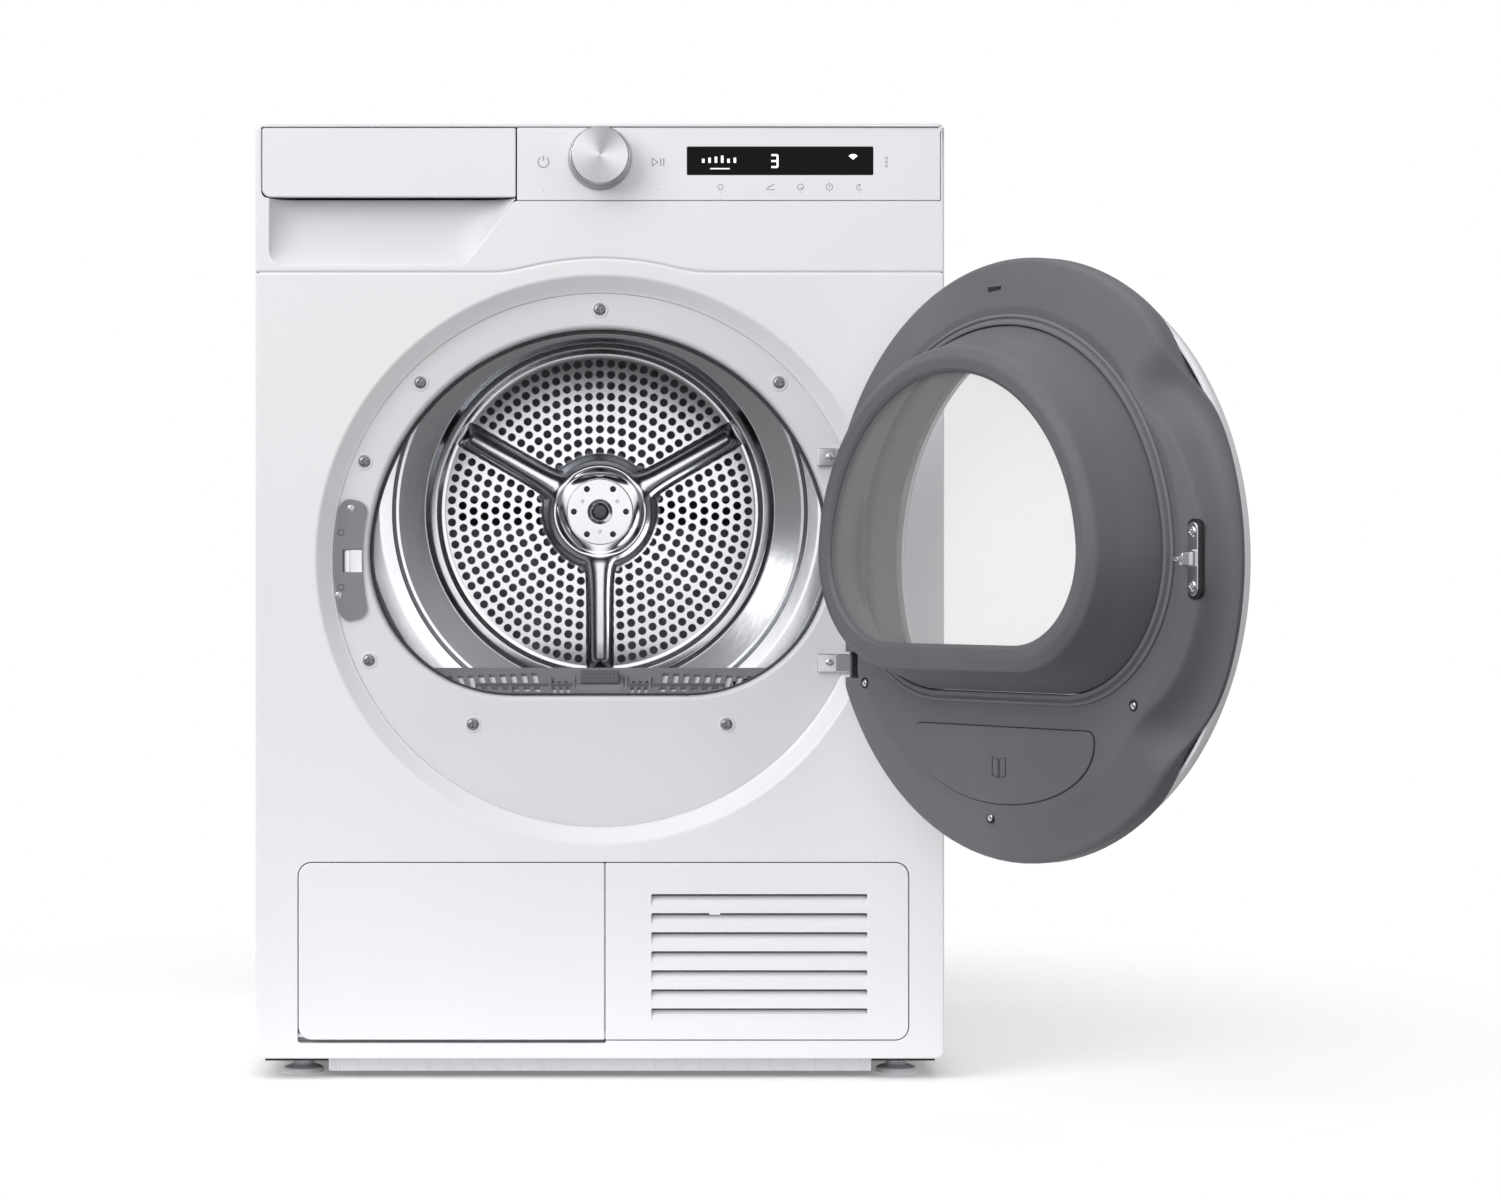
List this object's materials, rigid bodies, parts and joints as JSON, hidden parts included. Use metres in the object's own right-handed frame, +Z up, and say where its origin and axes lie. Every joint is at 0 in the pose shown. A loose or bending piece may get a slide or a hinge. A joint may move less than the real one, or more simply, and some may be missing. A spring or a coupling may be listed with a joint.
{
  "type": "clothes dryer",
  "caption": "Free-standing condenser dryer with a round side-hinged front door, water drawer, dial and display on top, service flap and air grille below.",
  "frame": {"origin": "on the floor, at the centre of the four levelling feet", "axes": "+X to the machine's right side as seen from the front, +Y to the back, +Z up; the door faces -Y"},
  "size_m": [0.789, 1.0327, 0.835],
  "materials": {
    "white_steel": "smooth white enamel",
    "white_plastic": "white moulded, satin",
    "light_grey_plastic": "light grey moulded",
    "mid_grey_plastic": "mid grey moulded",
    "dark_grey_plastic": "dark grey moulded, fine grain",
    "black_plastic": "black moulded",
    "galvanised": "bare galvanised sheet",
    "stainless": "bright stainless",
    "brushed_alu": "turned, cone-brushed face",
    "heat_fins": "plain fins",
    "dark_glass": "black display glass",
    "clear_glass": "clear moulded glass",
    "clear_window": "clear plastic window",
    "gasket": "soft seal",
    "felt": "pressed felt",
    "belt": "ribbed belt",
    "cast": "painted casting",
    "filter_mesh": "plastic frame with fine mesh"
  },
  "bodies": {
    "cabinet": {"base_tray": "black_plastic", "catch_plate": "mid_grey_plastic", "compressor": "cast", "condenser": "heat_fins", "control_panel": "white_plastic", "display_window": "dark_glass", "drive_belt": "belt", "drum_felt": "felt", "evaporator": "heat_fins", "fan_housing": "black_plastic", "fascia": "white_plastic", "front_bulkhead": "mid_grey_plastic", "front_panel": "white_steel", "grip_scoop": "light_grey_plastic", "heat_exchanger_cover": "mid_grey_plastic", "hinge_brackets": "galvanised", "lint_filter": "filter_mesh", "lint_filter_housing": "mid_grey_plastic", "louvre_panel": "white_plastic", "mains_gland": "black_plastic", "motor": "cast", "opening_ring": "light_grey_plastic", "plinth": "light_grey_plastic", "rear_bearing": "cast", "rear_duct_cover": "mid_grey_plastic", "rear_panel": "galvanised", "ring_screws": "stainless", "side_panel_left": "white_steel", "side_panel_right": "white_steel", "worktop": "white_plastic"},
    "door": {"door_frame": "dark_grey_plastic", "door_tunnel": "dark_grey_plastic", "inner_glass": "clear_glass", "door_gasket": "gasket", "door_shell": "white_plastic", "outer_window": "clear_window", "door_latch": "stainless", "door_screws": "stainless", "document_cover": "dark_grey_plastic", "hinge_leaves": "galvanised"},
    "drum": {"drum_shell": "stainless", "drum_rear_plate": "stainless", "drum_lifters": "mid_grey_plastic", "drum_shaft": "stainless", "hub_bolts": "stainless"},
    "rotor": {"motor_rotor": "stainless", "fan_impeller": "black_plastic"},
    "roller_left": {"support_roller_left": "black_plastic"},
    "roller_right": {"support_roller_right": "black_plastic"},
    "tank": {"drawer_front": "white_plastic", "tank_body": "light_grey_plastic"},
    "dial": {"program_dial": "brushed_alu"},
    "flap": {"service_flap": "white_plastic"},
    "lever_left": {"lock_lever_left": "dark_grey_plastic"},
    "lever_right": {"lock_lever_right": "dark_grey_plastic"},
    "catch": {"catch_lever": "stainless"},
    "foot_fl": {"foot_front_left": "light_grey_plastic"},
    "foot_fr": {"foot_front_right": "light_grey_plastic"},
    "foot_rl": {"foot_rear_left": "light_grey_plastic"},
    "foot_rr": {"foot_rear_right": "light_grey_plastic"}
  },
  "joints": [
    {"name": "door_hinge", "type": "hinge", "parent": "cabinet", "child": "door", "pos_m": [0.224, -0.322, 0.4536], "axis": [0, 0, 1], "range_deg": [-124.5, 45]},
    {"name": "drum_spin", "type": "hinge", "parent": "cabinet", "child": "drum", "pos_m": [0, 0, 0.505], "axis": [0, 1, 0], "continuous": true},
    {"name": "motor_spin", "type": "hinge", "parent": "cabinet", "child": "rotor", "pos_m": [0.205, 0.1, 0.112], "axis": [0, 1, 0], "continuous": true},
    {"name": "roller_left_spin", "type": "hinge", "parent": "cabinet", "child": "roller_left", "pos_m": [-0.1512, -0.21, 0.24311], "axis": [0, 1, 0], "continuous": true},
    {"name": "roller_right_spin", "type": "hinge", "parent": "cabinet", "child": "roller_right", "pos_m": [0.1512, -0.21, 0.24311], "axis": [0, 1, 0], "continuous": true},
    {"name": "tank_slide", "type": "slide", "parent": "cabinet", "child": "tank", "axis": [0, -1, 0], "range_m": [0, 0.36]},
    {"name": "dial_turn", "type": "hinge", "parent": "cabinet", "child": "dial", "pos_m": [0, -0.31, 0.8037], "axis": [0, 1, 0], "continuous": true},
    {"name": "flap_hinge", "type": "hinge", "parent": "cabinet", "child": "flap", "pos_m": [-0.129, -0.2948, 0.039], "axis": [1, 0, 0], "range_deg": [0, 88]},
    {"name": "lever_left_turn", "type": "hinge", "parent": "cabinet", "child": "lever_left", "pos_m": [-0.205, -0.278, 0.16], "axis": [0, 1, 0], "range_deg": [0, 90]},
    {"name": "lever_right_turn", "type": "hinge", "parent": "cabinet", "child": "lever_right", "pos_m": [-0.053, -0.278, 0.16], "axis": [0, 1, 0], "range_deg": [0, 90]},
    {"name": "catch_spring", "type": "hinge", "parent": "cabinet", "child": "catch", "pos_m": [-0.236, -0.272, 0.4526], "axis": [0, 0, 1], "range_deg": [0, 12], "stiffness_Nm_per_rad": 0.05},
    {"name": "foot_fl_turn", "type": "hinge", "parent": "cabinet", "child": "foot_fl", "pos_m": [-0.2625, -0.245, 0.01], "axis": [0, 0, 1], "continuous": true},
    {"name": "foot_fr_turn", "type": "hinge", "parent": "cabinet", "child": "foot_fr", "pos_m": [0.2625, -0.245, 0.01], "axis": [0, 0, 1], "continuous": true},
    {"name": "foot_rl_turn", "type": "hinge", "parent": "cabinet", "child": "foot_rl", "pos_m": [-0.2625, 0.245, 0.01], "axis": [0, 0, 1], "continuous": true},
    {"name": "foot_rr_turn", "type": "hinge", "parent": "cabinet", "child": "foot_rr", "pos_m": [0.2625, 0.245, 0.01], "axis": [0, 0, 1], "continuous": true}
  ],
  "couplings": [
    {"joint": "motor_spin", "follows": "drum_spin", "ratio": 23.333},
    {"joint": "roller_left_spin", "follows": "drum_spin", "ratio": -12.727},
    {"joint": "roller_right_spin", "follows": "drum_spin", "ratio": -12.727}
  ]
}
